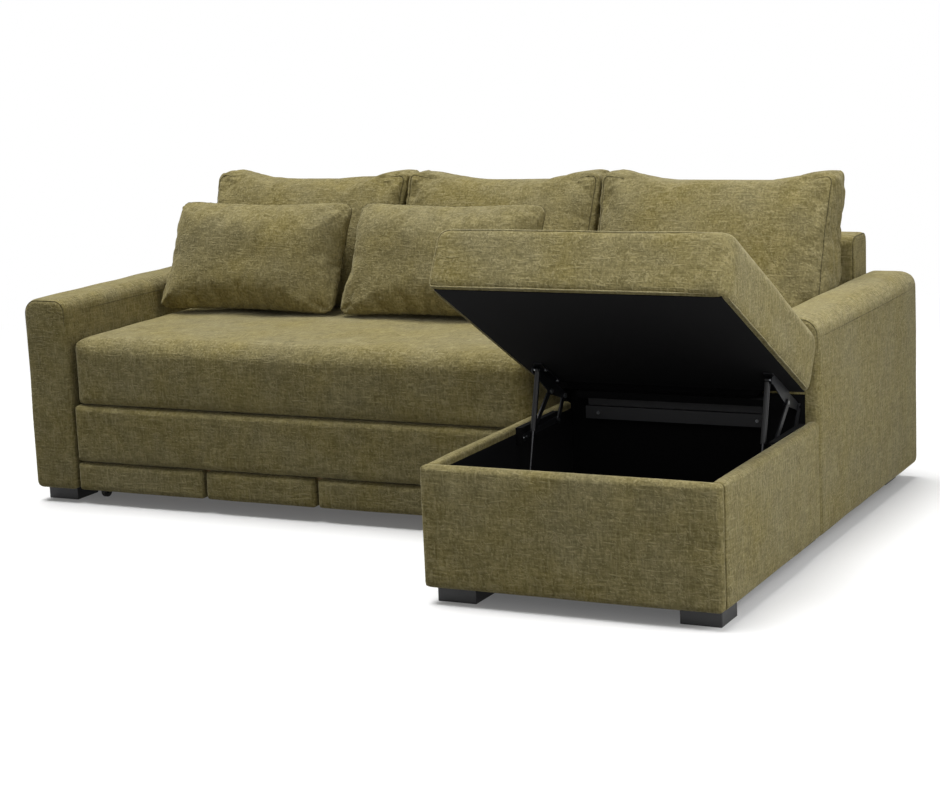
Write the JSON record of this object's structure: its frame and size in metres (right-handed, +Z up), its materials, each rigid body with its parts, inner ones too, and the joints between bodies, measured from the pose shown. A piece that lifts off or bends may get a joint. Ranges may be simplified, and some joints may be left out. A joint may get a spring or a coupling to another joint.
{
  "type": "sofa_bed",
  "caption": "Corner sofa bed in olive fabric: pull-out bed under the long seat, chaise storage box with a lift-up lid on links and gas struts, loose back and scatter cushions.",
  "frame": {"origin": "floor point under the middle of the bounding box", "axes": "+X along the sofa towards the chaise, +Y to the back, +Z up"},
  "size_m": [2.4, 1.67, 0.9293],
  "materials": {
    "olive_fabric": "short chenille pile",
    "black_lining": "plain black lining cloth",
    "dark_steel": "dark powder coat",
    "bright_steel": "zinc plated",
    "plywood": "unfinished plywood",
    "black_plastic": "matt black",
    "mattress_cover": "woven ticking"
  },
  "bodies": {
    "base": {"left_arm": "olive_fabric", "right_arm": "olive_fabric", "back_frame": "olive_fabric", "seat_cushion": "olive_fabric", "corner_seat_cushion": "olive_fabric", "back_cushion_left": "olive_fabric", "back_cushion_middle": "olive_fabric", "back_cushion_right": "olive_fabric", "scatter_cushion_left": "olive_fabric", "scatter_cushion_right": "olive_fabric", "seat_front_rail": "dark_steel", "seat_rear_rail": "dark_steel", "seat_side_rails": "dark_steel", "seat_slat_set": "plywood", "corner_deck": "black_lining", "corner_front_rail": "black_lining", "corner_side_panel": "plywood", "rail_screws": "bright_steel", "box_front": "olive_fabric", "box_left_side": "olive_fabric", "box_right_side": "olive_fabric", "box_floor": "black_lining", "box_rear_panel": "black_lining", "feet": "black_plastic", "lift_battens": "black_lining", "lift_base_plates": "dark_steel", "lift_base_pins": "bright_steel", "strut_brackets": "dark_steel", "base_screws": "bright_steel", "bed_guide_rails": "dark_steel"},
    "lid": {"lid_board": "black_lining", "lid_cushion": "olive_fabric", "lid_plates": "dark_steel", "lid_pins": "bright_steel", "lid_screws": "bright_steel"},
    "front_links": {"front_links": "dark_steel"},
    "rear_links": {"rear_links": "dark_steel"},
    "strut_cylinders": {"strut_cylinders": "black_plastic"},
    "strut_rods": {"strut_rods": "bright_steel"},
    "bed": {"bed_front_panel": "olive_fabric", "bed_plinth_first": "olive_fabric", "bed_plinth_second": "olive_fabric", "bed_plinth_third": "olive_fabric", "bed_plinth_last": "olive_fabric", "bed_side_rails": "plywood", "bed_cross_rails": "plywood", "bed_slat_set": "plywood", "bed_mattress": "mattress_cover", "bed_glides": "black_plastic", "roller_forks": "dark_steel", "roller_axles": "bright_steel"},
    "front_rollers": {"front_rollers": "black_plastic"},
    "rear_rollers": {"rear_rollers": "black_plastic"}
  },
  "joints": [
    {"name": "lid_lift", "type": "hinge", "parent": "base", "child": "front_links", "pos_m": [0, -0.30136, 0.3213], "axis": [-1, 0, 0], "range_deg": [0, 40.25]},
    {"name": "lid_on_front_links", "type": "hinge", "parent": "front_links", "child": "lid", "pos_m": [0, -0.18749, 0.40944], "axis": [1, 0, 0], "range_deg": [0, 69.27]},
    {"name": "rear_link_swing", "type": "hinge", "parent": "base", "child": "rear_links", "pos_m": [0, -0.13574, 0.32305], "axis": [-1, 0, 0], "range_deg": [0, 51.38]},
    {"name": "strut_swing", "type": "hinge", "parent": "lid", "child": "strut_cylinders", "pos_m": [0, -0.29197, 0.48497], "axis": [-1, 0, 0], "range_deg": [0, 43.38]},
    {"name": "strut_stroke", "type": "slide", "parent": "strut_cylinders", "child": "strut_rods", "axis": [0, 0.2653, 0.9642], "range_m": [0, 0.14146]},
    {"name": "bed_slide", "type": "slide", "parent": "base", "child": "bed", "axis": [0, -1, 0], "range_m": [0, 0.7]},
    {"name": "front_roller_spin", "type": "hinge", "parent": "bed", "child": "front_rollers", "pos_m": [0, -0.087, 0.0205], "axis": [1, 0, 0], "range_deg": [0, 2010]},
    {"name": "rear_roller_spin", "type": "hinge", "parent": "bed", "child": "rear_rollers", "pos_m": [0, 0.605, 0.0205], "axis": [1, 0, 0], "range_deg": [0, 2010]}
  ],
  "couplings": [
    {"joint": "lid_on_front_links", "follows": "lid_lift", "ratio": 1.7205},
    {"joint": "rear_link_swing", "follows": "lid_lift", "ratio": 1.2762},
    {"joint": "strut_swing", "follows": "lid_lift", "ratio": 1.0773},
    {"joint": "strut_stroke", "follows": "lid_lift", "m_per_rad": 0.20123},
    {"joint": "front_roller_spin", "follows": "bed_slide", "rad_per_m": 50},
    {"joint": "rear_roller_spin", "follows": "bed_slide", "rad_per_m": 50}
  ]
}
